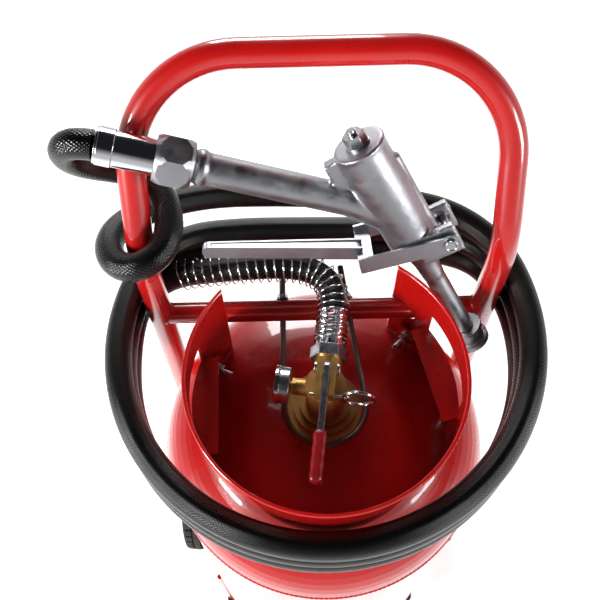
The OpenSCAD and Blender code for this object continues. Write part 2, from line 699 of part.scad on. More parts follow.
module gun_cap() {
    color(steel) at_gun() rotate([0, -90, 0]) {
        translate([0, 0, 70]) cylinder(r = 5.9, h = 8);
        translate([0, 0, 78]) cylinder(r = 11, h = 2);
        translate([0, 0, 80]) hex_bar(17, 9);
        translate([0, 0, 89]) cylinder(r = 4, h = 4);
    }
}
module gun_tip() {
    color(steel) at_gun() translate([162, 0, 0]) rotate([0, 90, 0]) difference() {
        union() {
            cylinder(r = 14, h = 24);
            cylinder(r = 17, h = 5);
            translate([0, 0, 16]) cylinder(r = 18, h = 6);
        }
        translate([0, 0, -1]) cylinder(r = 6.5, h = 10);
        translate([0, 0, 8]) cylinder(r1 = 6.5, r2 = 11, h = 16.1);
    }
}
module gun_piston() {
    color(steel) at_gun() rotate([0, 90, 0]) {
        translate([0, 0, -60]) cylinder(r = 7.7, h = 78);
        translate([0, 0, 8]) cylinder(r = housing_r - 5 - run_gap, h = 12);
    }
}
module gun_spring() {
    color(steel) at_gun() rotate([0, 90, 0]) for (z = [-58 : 5.5 : 4])
        translate([0, 0, z]) rotate_extrude() translate([9, 0]) circle(r = 1, $fn = 16);
}
module gun_lever() {
    fork_y = 22;
    sheet = 2.5;
    knee = [22, 45];
    half_w = 7.5;
    p = [gun_pin[0], 0, gun_pin[1]];
    function strip(a, b, w) = let (d = unit(b - a), s = [-d[1], d[0]] * w) [a - s, b - s, b + s, a + s];
    color(alloy) at_gun() difference() {
        union() {
            for (s = [-1, 1]) {
                // fork arms beside the housing
                translate([0, s * (fork_y + 3), 0]) rotate([90, 0, 0])
                    linear_extrude(sheet, center = true) {
                        polygon(strip(gun_pin, knee + [-1, 4], 8));
                        translate(gun_pin) circle(r = 9);
                    }
                // side walls of the channel
                translate([0, s * (half_w - sheet / 2), 0]) rotate([90, 0, 0])
                    linear_extrude(sheet, center = true) polygon(strip(knee, gun_tip, 6));
            }
            // shoulder that joins the fork to the channel
            rotate([90, 0, 0]) linear_extrude(2 * fork_y + 8, center = true)
                polygon([knee + [2, -9], knee + [10, -6], knee + [6, 6], knee + [-3, 4]]);
            rotate([90, 0, 0]) linear_extrude(2 * half_w, center = true)
                polygon([knee - [4, 0], knee - [6.5, -2], gun_tip - [6.5, -1], gun_tip - [4, 0]]);
            translate([gun_tip[0], 0, gun_tip[1]]) rotate([90, 0, 0]) cylinder(r = 6, h = 2 * half_w, center = true);
        }
        translate([gun_pin[0], -40, gun_pin[1]]) rotate([-90, 0, 0]) cylinder(r = gun_pin_r + run_gap, h = 80);
    }
}
module gun_lever_pin() {
    color(steel) at_gun() translate([gun_pin[0], 0, gun_pin[1]]) rotate([90, 0, 0]) {
        cylinder(r = gun_pin_r, h = 58, center = true);
        translate([0, 0, 27]) tube_z(6, gun_pin_r, 3);
        translate([0, 0, -30]) tube_z(6, gun_pin_r, 3);
    }
}

tank_shell();
neck_boss();
collar();
collar_lugs();
collar_bolts();
handle_frame();
neck_bar();
rear_straps();
front_feet();
foot_pads();
axle();
axle_spacers();
wheel_disc_left();
wheel_disc_right();
tyre_left();
tyre_right();
wheel_bush_left();
wheel_bush_right();
axle_washers();
split_pins();
neck_clamp();
neck_clamp_nuts();
neck_seal();
valve_body();
siphon_tube();
valve_stem();
valve_spring();
valve_lever();
lever_grip();
lever_pivot();
safety_pin();
gauge_stem();
gauge_case();
gauge_dial();
gauge_needle();
gauge_lens();
outlet_nut();
outlet_ferrule();
spring_guard();
hose_lead();
hose_coil();
hose_tail();
gun_ferrule();
gun_nut();
gun_inlet();
gun_body();
gun_cap();
gun_tip();
gun_piston();
gun_spring();
gun_lever();
gun_lever_pin();
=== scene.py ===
"""Looks of a wheeled dry-powder fire extinguisher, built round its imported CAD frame.

Lengths in the classes are millimetres about the cylinder's own axis, as in the part's source.
The matrices below take them to metres in the part's frame.
"""

import logging
import math
from dataclasses import dataclass, field, replace
from enum import Enum
from typing import Callable, Iterable, Sequence

import bmesh
import bpy
from mathutils import Euler, Matrix, Vector


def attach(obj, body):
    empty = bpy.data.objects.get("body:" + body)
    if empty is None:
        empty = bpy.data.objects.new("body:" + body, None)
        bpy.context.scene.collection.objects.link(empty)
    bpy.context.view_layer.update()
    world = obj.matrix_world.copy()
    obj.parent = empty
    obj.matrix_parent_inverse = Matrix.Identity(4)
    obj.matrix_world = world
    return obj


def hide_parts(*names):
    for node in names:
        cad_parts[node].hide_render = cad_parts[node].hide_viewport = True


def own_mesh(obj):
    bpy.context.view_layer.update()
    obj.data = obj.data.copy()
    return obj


logging.basicConfig(level=logging.INFO, format="%(message)s")
log = logging.getLogger("extinguisher")

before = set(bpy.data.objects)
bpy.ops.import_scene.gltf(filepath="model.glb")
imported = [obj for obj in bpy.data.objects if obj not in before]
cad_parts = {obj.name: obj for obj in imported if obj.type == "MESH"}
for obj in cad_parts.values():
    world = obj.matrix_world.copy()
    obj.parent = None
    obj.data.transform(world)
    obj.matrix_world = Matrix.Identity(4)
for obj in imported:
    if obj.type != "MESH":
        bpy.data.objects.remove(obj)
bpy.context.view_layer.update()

AXIS_Y = -22.6626
RIM_Z = 890.0
PORT_Z = RIM_Z - 45
TANK_R = 170.0
BARREL_Z = (205.0, 703.0)
LEG_X, LEG_Y, TUBE_R = 165.0, 98.0, 12.7
BAR_R, BAR_Z = 11.0, 818.0
HOSE_R = 13.0
GUN_AT = (65.0, 118.0, RIM_Z + 80)

ON_AXIS = Matrix.Translation((0, AXIS_Y / 1000, 0)) @ Matrix.Scale(0.001, 4)
VALVE_TURN = math.radians(7.5)
AT_VALVE = ON_AXIS @ Matrix.Rotation(-VALVE_TURN, 4, "Z")
AT_GUN = (
    ON_AXIS
    @ Matrix.Translation(GUN_AT)
    @ Euler([math.radians(a) for a in (139, 56, -34)], "XYZ").to_matrix().to_4x4()
)

Point = Sequence[float]


# ---------------------------------------------------------------- small tools


def linear(hex_colour: str) -> tuple[float, float, float, float]:
    """Turns an sRGB hex colour to linear RGBA.

    Args:
        hex_colour: Six hex digits after a hash.

    Returns:
        The colour as four linear numbers, with full alpha.
    """
    parts = [int(hex_colour[i : i + 2], 16) / 255 for i in (1, 3, 5)]
    return (*[c / 12.92 if c <= 0.04045 else ((c + 0.055) / 1.055) ** 2.4 for c in parts], 1.0)


def smooth_route(points: Sequence[Point], steps: int) -> list[Vector]:
    """Runs a smooth curve through the points of a route.

    Args:
        points: The route, in order.
        steps: How many stretches each gap is cut into.

    Returns:
        The points of the curve, both ends among them.
    """
    p = [Vector(q) for q in points]
    line: list[Vector] = []
    for i in range(len(p) - 1):
        a, b, c, d = p[max(i - 1, 0)], p[i], p[i + 1], p[min(i + 2, len(p) - 1)]
        for k in range(steps):
            t = k / steps
            line.append(
                0.5 * (2 * b + (c - a) * t + (2 * a - 5 * b + 4 * c - d) * t * t + (3 * b - a - 3 * c + d) * t**3)
            )
    return line + [p[-1]]


def respaced(line: Sequence[Vector], gap: float) -> list[Vector]:
    """Spaces the points of a line evenly.

    Args:
        line: The line to walk along.
        gap: The distance wanted between two points.

    Returns:
        Evenly spaced points, both ends among them.
    """
    lengths = [0.0]
    for a, b in zip(line, line[1:]):
        lengths.append(lengths[-1] + (b - a).length)
    count = max(2, round(lengths[-1] / gap))
    out, j = [], 0
    for i in range(count + 1):
        want = lengths[-1] * i / count
        while j < len(line) - 2 and lengths[j + 1] < want:
            j += 1
        step = lengths[j + 1] - lengths[j]
        out.append(line[j].lerp(line[j + 1], (want - lengths[j]) / step if step else 0.0))
    return out


def eased(line: Sequence[Vector], rounds: int) -> list[Vector]:
    """Takes the small kinks out of a line, and keeps its ends.

    Args:
        line: The line to ease.
        rounds: How many times each point moves halfway to its neighbours' middle.

    Returns:
        The eased line.
    """
    p = list(line)
    for _ in range(rounds):
        p = [p[0]] + [(p[i - 1] + 2 * p[i] + p[i + 1]) / 4 for i in range(1, len(p) - 1)] + [p[-1]]
    return p


def walk(line: Sequence[Vector]) -> list[tuple[Vector, Vector, Vector]]:
    """Carries a pair of side directions along a line without twist.

    Args:
        line: The points walked through.

    Returns:
        For each point its forward and its two side directions.
    """
    out: list[tuple[Vector, Vector, Vector]] = []
    side = Vector((0.3, 0.2, 0.9))
    for i in range(len(line)):
        t = (line[min(i + 1, len(line) - 1)] - line[max(i - 1, 0)]).normalized()
        side = (side - side.dot(t) * t).normalized()
        out.append((t, side, t.cross(side)))
    return out


def sweep(line: Sequence[Vector], radii: Sequence[float], sides: int) -> bmesh.types.BMesh:
    """Draws a round section along a line, ring by ring, with a UV map that follows it.

    Args:
        line: The centreline, in millimetres.
        radii: The section's radius at each point.
        sides: How many sides the section has.

    Returns:
        A closed mesh whose U goes once round and whose V is the length in millimetres.
    """
    bm = bmesh.new()
    frames = walk(line)
    first = bmesh.ops.create_circle(bm, cap_ends=True, segments=sides, radius=1.0)["verts"]
    unit = [v.co.copy() for v in first]
    rings = [first]
    edges = list(bm.edges)
    for _ in range(1, len(line)):
        grown = bmesh.ops.extrude_edge_only(bm, edges=edges)["geom"]
        edges = [e for e in grown if isinstance(e, bmesh.types.BMEdge)]
        new = [v for v in grown if isinstance(v, bmesh.types.BMVert)]
        ahead: dict[bmesh.types.BMVert, bmesh.types.BMVert] = {}
        fresh = set(new)
        for v in rings[-1]:
            for e in v.link_edges:
                other = e.other_vert(v)
                if other in fresh:
                    ahead[v] = other
        rings.append([ahead[v] for v in rings[-1]])
        edges = [e for e in edges if e.verts[0] in fresh and e.verts[1] in fresh]
    bmesh.ops.contextual_create(bm, geom=edges)
    layer = bm.loops.layers.uv.new("along")
    run = 0.0
    spot: dict[bmesh.types.BMVert, tuple[int, float]] = {}
    for i, ring in enumerate(rings):
        if i:
            run += (line[i] - line[i - 1]).length
        _, side, up = frames[i]
        for k, v in enumerate(ring):
            v.co = line[i] + radii[i] * (unit[k].x * side + unit[k].y * up)
            spot[v] = (k, run)
    for face in bm.faces:
        ks = [spot[loop.vert][0] for loop in face.loops]
        wraps = max(ks) - min(ks) > sides / 2
        for loop in face.loops:
            k, v_at = spot[loop.vert]
            loop[layer].uv = ((k + (sides if wraps and k < sides / 2 else 0)) / sides, v_at)
    bmesh.ops.recalc_face_normals(bm, faces=bm.faces)
    return bm


def lathe(profile: Sequence[Point], steps: int, closed: bool = False) -> bmesh.types.BMesh:
    """Spins an outline of (radius, height) round the Z axis.

    Args:
        profile: The outline's points, in order.
        steps: How many steps a full turn has.
        closed: Whether the outline returns to its start, as a tyre's does.

    Returns:
        The turned mesh, with its normals outwards.
    """
    bm = bmesh.new()
    verts = [bm.verts.new((r, 0, z)) for r, z in profile]
    edges = [bm.edges.new(pair) for pair in zip(verts, verts[1:])]
    if closed:
        edges.append(bm.edges.new((verts[-1], verts[0])))
    bmesh.ops.spin(
        bm, geom=verts + edges, cent=(0, 0, 0), axis=(0, 0, 1), angle=2 * math.pi, steps=steps, use_merge=True
    )
    bmesh.ops.remove_doubles(bm, verts=bm.verts, dist=1e-4)
    bmesh.ops.recalc_face_normals(bm, faces=bm.faces)
    return bm


def block(size: Point, centre: Point, round_edge: float = 0.0, segments: int = 2) -> bmesh.types.BMesh:
    """Makes a block with rounded edges.

    Args:
        size: Its three sides.
        centre: Its middle.
        round_edge: The radius of its edges.
        segments: How many steps the rounding has.

    Returns:
        The block's mesh.
    """
    bm = bmesh.new()
    bmesh.ops.create_cube(bm, size=1.0)
    bmesh.ops.scale(bm, vec=Vector(size), verts=bm.verts)
    bmesh.ops.translate(bm, vec=Vector(centre), verts=bm.verts)
    if round_edge:
        bmesh.ops.bevel(
            bm, geom=list(bm.edges), offset=round_edge, offset_type="OFFSET", segments=segments, profile=0.5,
            affect="EDGES", material=-1, clamp_overlap=True,
        )
    return bm


def joined(parts: Iterable[bmesh.types.BMesh]) -> bmesh.types.BMesh:
    """Puts several meshes into one and frees them.

    Args:
        parts: The meshes.

    Returns:
        One mesh that holds them all.
    """
    whole = bmesh.new()
    for part in parts:
        spare = bpy.data.meshes.new("spare")
        part.to_mesh(spare)
        part.free()
        whole.from_mesh(spare)
        bpy.data.meshes.remove(spare)
    return whole


def turned(bm: bmesh.types.BMesh, matrix: Matrix) -> bmesh.types.BMesh:
    """Moves a mesh by a matrix and returns it."""
    bmesh.ops.transform(bm, matrix=matrix, verts=bm.verts)
    return bm


def finish_object(name: str, bm: bmesh.types.BMesh, to_part: Matrix, crease: float = 32.0) -> bpy.types.Object:
    """Turns a mesh into an object at the origin, with its place in its vertices.

    Args:
        name: The object's name.
        bm: The mesh, in millimetres. It is freed.
        to_part: The matrix that takes it to metres in the part's frame.
        crease: Edges sharper than this many degrees stay crisp.

    Returns:
        The object.
    """
    bmesh.ops.transform(bm, matrix=to_part, verts=bm.verts)
    mesh = bpy.data.meshes.new(name)
    bm.to_mesh(mesh)
    bm.free()
    mesh.shade_smooth()
    mesh.set_sharp_from_angle(angle=math.radians(crease))
    obj = bpy.data.objects.new(name, mesh)
    bpy.context.scene.collection.objects.link(obj)
    return obj


# ---------------------------------------------------------------- finishes


def add(tree: bpy.types.NodeTree, kind: str, settings: dict | None = None, **inputs: object) -> bpy.types.Node:
    """Adds one shader node with its settings, values and links.

    Args:
        tree: The material's node tree.
        kind: The node's type name.
        settings: Values set on the node itself.
        **inputs: A value, or a socket to link from, for each input. Underscores stand for spaces, and
            a name such as in_0 picks an input by its number.

    Returns:
        The node.
    """
    node = tree.nodes.new(kind)
    for key, value in (settings or {}).items():
        setattr(node, key, value)
    for key, value in inputs.items():
        slot = node.inputs[int(key[3:])] if key.startswith("in_") else node.inputs[key.replace("_", " ")]
        if isinstance(value, bpy.types.NodeSocket):
            tree.links.new(value, slot)
        else:
            slot.default_value = value
    return node


def mix_colours(
    tree: bpy.types.NodeTree, share: bpy.types.NodeSocket, first: str, second: str
) -> bpy.types.NodeSocket:
    """Mixes two colours by a share from 0 to 1.

    Args:
        tree: The node tree.
        share: How much of the second colour there is.
        first: The first colour, as sRGB hex.
        second: The second colour, as sRGB hex.

    Returns:
        The mixed colour's socket.
    """
    mixed = add(
        tree, "ShaderNodeMix", {"data_type": "RGBA"}, in_0=share, in_6=linear(first), in_7=linear(second)
    )
    return mixed.outputs[2]


def count_with(
    tree: bpy.types.NodeTree, operation: str, first: object, second: float | bpy.types.NodeSocket = 0.0
) -> bpy.types.NodeSocket:
    """Adds one math node and returns its result's socket."""
    return add(tree, "ShaderNodeMath", {"operation": operation}, in_0=first, in_1=second).outputs[0]


class Pattern(Enum):
    """How a surface was made, which says what its fine relief is."""

    POURED = "orange peel of sprayed enamel"
    CAST = "sand-cast skin"
    ROLLED = "plated sheet and bar"
    TURNED = "machined and stamped brass"
    BRAIDED = "cloth-pressed rubber cover"
    MOULDED = "moulded rubber or plastic"
    CLEAR = "clear and smooth"


# How many finer layers each noise relief has, and how strongly they show.
GRAIN = {
    Pattern.POURED: (2.0, 0.45),
    Pattern.ROLLED: (2.0, 0.45),
    Pattern.TURNED: (2.0, 0.6),
    Pattern.CAST: (5.0, 0.72),
}


@dataclass(frozen=True)
class Finish:
    """A real surface: its colours, gloss and relief."""

    name: str
    slot: str
    colour: str
    worn: str
    pattern: Pattern
    metallic: float = 0.0
    rough: float = 0.4
    rough_spread: float = 0.1
    grain_mm: float = 1.0
    relief_mm: float = 0.05
    coat: float = 0.0
    coat_rough: float = 0.05
    specular: float = 0.5
    through: float = 0.0
    made: dict[str, bpy.types.Material] = field(default_factory=dict, compare=False, hash=False)

    def material(self) -> bpy.types.Material:
        """Makes the material the first time, and returns the same one after that."""
        if self.name not in self.made:
            self.made[self.name] = self._build()
        return self.made[self.name]

    def _coordinates(self, tree: bpy.types.NodeTree) -> bpy.types.NodeSocket:
        """Object coordinates turned a little, so that a grain never lines up with a flat side."""
        where = add(tree, "ShaderNodeTexCoord")
        turn = add(tree, "ShaderNodeMapping", Vector=where.outputs["Object"], Rotation=(0.31, 0.22, 0.13))
        return turn.outputs["Vector"]

    def _relief(self, tree: bpy.types.NodeTree, at: bpy.types.NodeSocket) -> bpy.types.NodeSocket:
        """Height of the surface's fine relief.

        Args:
            tree: The material's node tree.
            at: The coordinates, in metres.

        Returns:
            A socket with a height from 0 to 1.
        """
        per_metre = 1000 / self.grain_mm
        if self.pattern is Pattern.BRAIDED:
            # two sets of ribs cross at the cloth's own angle; where both are high a dot stands proud
            uv = add(tree, "ShaderNodeUVMap", {"uv_map": "along"})
            apart = add(tree, "ShaderNodeSeparateXYZ", Vector=uv.outputs["UV"])
            turns = round(2 * math.pi * HOSE_R / self.grain_mm)
            around = count_with(tree, "MULTIPLY", apart.outputs["X"], turns * math.pi)
            along = count_with(tree, "MULTIPLY", apart.outputs["Y"], math.pi / self.grain_mm)
            ribs = [
                count_with(tree, "ABSOLUTE", count_with(tree, "SINE", count_with(tree, sign, around, along)))
                for sign in ("ADD", "SUBTRACT")
            ]
            return count_with(tree, "MULTIPLY", *ribs)
        if self.pattern is Pattern.MOULDED:
            grit = add(tree, "ShaderNodeTexVoronoi", {"feature": "F1"}, Vector=at, Scale=per_metre)
            return grit.outputs["Distance"]
        detail, harshness = GRAIN[self.pattern]
        grain = add(tree, "ShaderNodeTexNoise", Vector=at, Scale=per_metre, Detail=detail, Roughness=harshness)
        return grain.outputs["Fac"]

    def _build(self) -> bpy.types.Material:
        """Builds the node tree: two close tones, uneven gloss and fine relief.

        Returns:
            The material.
        """
        made = bpy.data.materials.new(self.name)
        made.use_nodes = True
        tree = made.node_tree
        shader = tree.nodes["Principled BSDF"]
        at = self._coordinates(tree)
        cloud = add(tree, "ShaderNodeTexNoise", Vector=at, Scale=14.0, Detail=6.0, Roughness=0.6)
        share = add(
            tree, "ShaderNodeMapRange", Value=cloud.outputs["Fac"], From_Min=0.35, From_Max=0.7, To_Min=0.0, To_Max=0.55
        )
        tone = mix_colours(tree, share.outputs["Result"], self.colour, self.worn)
        tree.links.new(tone, shader.inputs["Base Color"])
        streak = add(tree, "ShaderNodeTexNoise", Vector=at, Scale=60.0, Detail=4.0, Roughness=0.7)
        gloss = add(
            tree, "ShaderNodeMapRange", Value=streak.outputs["Fac"], From_Min=0.3, From_Max=0.7,
            To_Min=max(0.02, self.rough - self.rough_spread), To_Max=self.rough + self.rough_spread,
        )
        tree.links.new(gloss.outputs["Result"], shader.inputs["Roughness"])
        shader.inputs["Metallic"].default_value = self.metallic
        shader.inputs["Specular IOR Level"].default_value = self.specular
        shader.inputs["Coat Weight"].default_value = self.coat
        shader.inputs["Coat Roughness"].default_value = self.coat_rough
        shader.inputs["Transmission Weight"].default_value = self.through
        if self.pattern is not Pattern.CLEAR:
            lift = add(
                tree, "ShaderNodeBump", Height=self._relief(tree, at), Strength=1.0, Distance=self.relief_mm / 1000
            )
            tree.links.new(lift.outputs["Normal"], shader.inputs["Normal"])
            if self.coat:
                tree.links.new(lift.outputs["Normal"], shader.inputs["Coat Normal"])
        return made


# Sprayed red enamel: a deep clear gloss with a faint orange peel.
RED = Finish(
    "red_gloss_enamel", "red_paint", "#cb1512", "#b20d0e", Pattern.POURED, rough=0.3, rough_spread=0.04, grain_mm=14,
    relief_mm=0.05, coat=1.0, coat_rough=0.04,
)
# Bright zinc on pressed and turned steel: grey, soft streaks, a little blue.
ZINC = Finish(
    "zinc_plated_steel", "zinc_steel", "#c3c5c8", "#9ea1a6", Pattern.ROLLED, metallic=1.0, rough=0.27,
    rough_spread=0.08, grain_mm=2.5, relief_mm=0.03,
)
# Bent rod with a dull brown-black oxide.
OXIDE = Finish(
    "oxide_blacked_rod", "dark_rod", "#6b6462", "#8d8580", Pattern.ROLLED, metallic=1.0, rough=0.38,
    rough_spread=0.08, grain_mm=1.5, relief_mm=0.03,
)
# Hot-stamped brass, darker in its hollows than on its turned faces.
BRASS = Finish(
    "hot_stamped_brass", "brass", "#d3a766", "#a8793f", Pattern.TURNED, metallic=0.85, rough=0.42, rough_spread=0.1,
    grain_mm=0.9, relief_mm=0.03,
)
# Tumbled aluminium casting: satin grey with a fine sandy skin.
CASTING = Finish(
    "tumbled_cast_aluminium", "cast_alloy", "#b3b4b8", "#8c8d93", Pattern.CAST, metallic=1.0, rough=0.4,
    rough_spread=0.12, grain_mm=2.6, relief_mm=0.2,
)
# Chromed wire and pins: nearly a mirror.
CHROME = Finish(
    "bright_chromed_wire", "chrome", "#dcdde0", "#c2c4c8", Pattern.ROLLED, metallic=1.0, rough=0.12,
    rough_spread=0.04, grain_mm=3, relief_mm=0.01,
)
# Extruded hose cover pressed with cloth while it cured: black, with rows of small raised dots.
HOSE_COVER = Finish(
    "cloth_pressed_hose_rubber", "hose_rubber", "#050505", "#0b0b0a", Pattern.BRAIDED, rough=0.2, rough_spread=0.04,
    grain_mm=3.4, relief_mm=0.3, specular=0.45,
)
# Moulded black rubber: matt, with a fine grit.
RUBBER = Finish(
    "moulded_black_rubber", "black_rubber", "#1a1a1a", "#262625", Pattern.MOULDED, rough=0.6, rough_spread=0.08,
    grain_mm=1.2, relief_mm=0.06,
)
# Solid tyre rubber, a shade greyer where it has rolled.
TYRE = Finish(
    "solid_tyre_rubber", "tyre_rubber", "#202020", "#33322f", Pattern.MOULDED, rough=0.68, rough_spread=0.08,
    grain_mm=1.6, relief_mm=0.09,
)
# Dipped red vinyl: soft gloss and no hard edge anywhere.
VINYL = Finish(
    "dipped_red_vinyl", "red_vinyl", "#8f1219", "#7c0e14", Pattern.POURED, rough=0.35, rough_spread=0.05, grain_mm=4,
    relief_mm=0.08, coat=0.3, coat_rough=0.2,
)
# Powder-coated wheel pressing: pale grey, fine pebble.
WHEEL_COAT = Finish(
    "pale_grey_powder_coat", "wheel_paint", "#cfcfcc", "#b9b8b3", Pattern.MOULDED, rough=0.42, rough_spread=0.06,
    grain_mm=0.9, relief_mm=0.03, coat=0.2, coat_rough=0.25,
)
# Natural nylon bearing: milky, slightly waxy.
NYLON = Finish(
    "natural_nylon", "nylon", "#e4e1d4", "#d3cfbf", Pattern.POURED, rough=0.45, rough_spread=0.05, grain_mm=2,
    relief_mm=0.02,
)
# Printed dial card under glass.
DIAL = Finish(
    "printed_dial_card", "dial_white", "#eeeeea", "#e2e2dc", Pattern.POURED, rough=0.5, grain_mm=0.6,
    relief_mm=0.004,
)
# Black ink, for the marks and for the lacquered needle.
INK = replace(DIAL, name="black_dial_ink", slot="needle_black", colour="#141414", worn="#202020", rough=0.45, made={})
# Green and red printing inks on the card.
GREEN_INK = replace(DIAL, name="green_dial_ink", colour="#1f8a43", worn="#1a7c3b", made={})
RED_INK = replace(DIAL, name="red_dial_ink", colour="#c8252b", worn="#b31f25", made={})
# Acrylic window of the gauge.
LENS = Finish("clear_acrylic", "lens", "#ffffff", "#f6f9fa", Pattern.CLEAR, rough=0.04, rough_spread=0.01, through=1.0)


def dress(obj: bpy.types.Object, finish: Finish) -> bpy.types.Object:
    """Gives an object one finish in every material slot.

    Args:
        obj: The object.
        finish: Its finish.

    Returns:
        The same object.
    """
    made = finish.material()
    if obj.data.materials:
        for i in range(len(obj.data.materials)):
            obj.data.materials[i] = made
    else:
        obj.data.materials.append(made)
    return obj


def keep(nodes: Iterable[str], finish: Finish) -> None:
    """Keeps CAD nodes as they are and gives them a finish."""
    for node in nodes:
        dress(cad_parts[node], finish)
        log.info("kept %s in %s", node, finish.name)


def place(
    obj: bpy.types.Object, finish: Finish, body: str = "trolley", stands_for: Sequence[str] = ()
) -> bpy.types.Object:
    """Dresses a new piece, sets it on its body and hides the nodes that it stands for.

    Args:
        obj: The new piece.
        finish: Its finish.
        body: The CAD body that carries it.
        stands_for: CAD nodes that it replaces.

    Returns:
        The same object.
    """
    dress(obj, finish)
    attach(obj, body)
    if stands_for:
        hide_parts(*stands_for)
    log.info("made %s in %s", obj.name, finish.name)
    return obj


def merged(node: str) -> bmesh.types.BMesh:
    """Copies a CAD node with its loose triangles merged and its flat faces whole.

    Args:
        node: The CAD node.

    Returns:
        The merged copy, in metres.
    """
    bm = bmesh.new()
    bm.from_mesh(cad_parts[node].data)
    bmesh.ops.remove_doubles(bm, verts=bm.verts, dist=2e-6)
    bmesh.ops.dissolve_degenerate(bm, edges=bm.edges, dist=2e-6)
    bmesh.ops.dissolve_limit(
        bm, angle_limit=math.radians(0.4), use_dissolve_boundaries=False, verts=bm.verts, edges=bm.edges
    )
    return bm


def squeezed(
    node: str, finish: Finish
) -> None:
    """Replaces a CAD spring with a merged copy of it.

    Args:
        node: The CAD spring.
        finish: Its finish.
    """
    wire = finish_object(f"{node}_wire", merged(node), Matrix.Identity(4))
    place(wire, finish, stands_for=[node])
    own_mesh(wire)


def soften(
    node: str, finish: Finish, edge: float, body: str = "trolley", angle: float = 34.0,
    reshape: Callable[[bmesh.types.BMesh], None] | None = None,
) -> bpy.types.Object:
    """Copies a CAD node, merges its triangles and eases its sharp edges.

    Args:
        node: The CAD node.
        finish: The finish of the eased copy.
        edge: Width of the eased edge, in millimetres.
        body: The CAD body that carries it.
        angle: Edges sharper than this many degrees are eased.
        reshape: A last change of shape before the edges are eased.

    Returns:
        The eased copy, which stands for the node.
    """
    bm = merged(node)
    if reshape:
        reshape(bm)
    sharp = [e for e in bm.edges if len(e.link_faces) == 2 and e.calc_face_angle(0.0) > math.radians(angle)]
    bmesh.ops.bevel(
        bm, geom=sharp, offset=edge / 1000, offset_type="OFFSET", segments=2, profile=0.5, affect="EDGES",
        material=-1, clamp_overlap=True,
    )
    obj = finish_object(f"{node}_eased", bm, Matrix.Identity(4), crease=angle + 6)
    even = obj.modifiers.new("even_shading", "WEIGHTED_NORMAL")
    even.keep_sharp = True
    return place(obj, finish, body, [node])


# ---------------------------------------------------------------- stage and camera


@dataclass
class Studio:
    """Camera, soft lights and a plain floor."""

    eye: tuple[float, float, float] = (-0.022, -0.31266, 1.602)
    tilt: float = 27.0
    roll: float = -1.4
    lens: float = 51.0
    floor_size: float = 14.0
    floor_drop: float = 0.0005
    floor_glow: float = 0.6
    sky_strength: float = 0.75
    lit_point: tuple[float, float, float] = (0.0, 0.0, 0.95)
    softboxes: tuple[tuple[str, tuple[float, float, float], float, float], ...] = (
        ("key", (-1.9, -0.9, 1.6), 0.7, 58.0),
        ("fill", (1.9, -0.9, 1.5), 0.7, 28.0),
        ("rim", (-0.2, 2.0, 1.8), 0.9, 30.0),
    )

    def camera(self) -> None:
        """Stands the camera high in front, looking steeply down into the collar."""
        data = bpy.data.cameras.new("camera")
        data.lens, data.sensor_width = self.lens, 36.0
        data.clip_start, data.clip_end = 0.02, 60.0
        cam = bpy.data.objects.new("camera", data)
        bpy.context.scene.collection.objects.link(cam)
        cam.location = self.eye
        turn = Euler((math.radians(self.tilt), 0, 0)).to_matrix() @ Matrix.Rotation(math.radians(self.roll), 3, "Z")
        cam.rotation_euler = turn.to_euler()
        bpy.context.scene.camera = cam

    def softbox(self, name: str, at: Point, size: float, power: float) -> None:
        """Hangs one square softbox that faces the top of the extinguisher.

        Args:
            name: The light's name.
            at: Where it hangs, in metres.
            size: The side of its square.
            power: Its power in watts.
        """
        data = bpy.data.lights.new(name, "AREA")
        data.size, data.energy = size, power
        lamp = bpy.data.objects.new(name, data)
        bpy.context.scene.collection.objects.link(lamp)
        lamp.location = at
        lamp.rotation_euler = (Vector(self.lit_point) - Vector(at)).to_track_quat("-Z", "Y").to_euler()

    def floor(self) -> None:
        """Lays a plain pale floor under the wheels."""
        bm = bmesh.new()
        bmesh.ops.create_grid(bm, x_segments=4, y_segments=4, size=self.floor_size / 2)
        obj = finish_object("floor", bm, Matrix.Translation((0, 0, -self.floor_drop)))
        paper = bpy.data.materials.new("pale_paper_sweep")
        paper.use_nodes = True
        tree = paper.node_tree
        shader = tree.nodes["Principled BSDF"]
        where = add(tree, "ShaderNodeTexCoord")
        cloud = add(tree, "ShaderNodeTexNoise", Vector=where.outputs["Object"], Scale=3.0, Detail=3.0)
        tone = mix_colours(tree, cloud.outputs["Fac"], "#f4f4f3", "#f1f1f0")
        tree.links.new(tone, shader.inputs["Base Color"])
        shader.inputs["Roughness"].default_value = 0.8
        # the sweep is lit from behind, so it stays pale between the hose and the frame
        shader.inputs["Emission Color"].default_value = linear("#ffffff")
        shader.inputs["Emission Strength"].default_value = self.floor_glow
        obj.data.materials.append(paper)

    def build(self) -> None:
        """Sets up the camera, the lights, the sky and the floor."""
        self.camera()
        bpy.context.scene.view_settings.view_transform = "Standard"
        for name, at, size, power in self.softboxes:
            self.softbox(name, at, size, power)
        world = bpy.data.worlds.new("studio")
        bpy.context.scene.world = world
        world.use_nodes = True
        tree = world.node_tree
        sky = tree.nodes["Background"]
        # a dim ceiling over a bright horizon, so that what faces up stays deep in colour
        where = add(tree, "ShaderNodeTexCoord")
        apart = add(tree, "ShaderNodeSeparateXYZ", Vector=where.outputs["Generated"])
        height = add(
            tree, "ShaderNodeMapRange", Value=apart.outputs["Z"], From_Min=0.02, From_Max=0.6, To_Min=0.0, To_Max=1.0
        )
        shade = mix_colours(tree, height.outputs["Result"], "#fbfbfc", "#27272b")
        tree.links.new(shade, sky.inputs["Color"])
        sky.inputs["Strength"].default_value = self.sky_strength
        self.floor()


# ---------------------------------------------------------------- hose


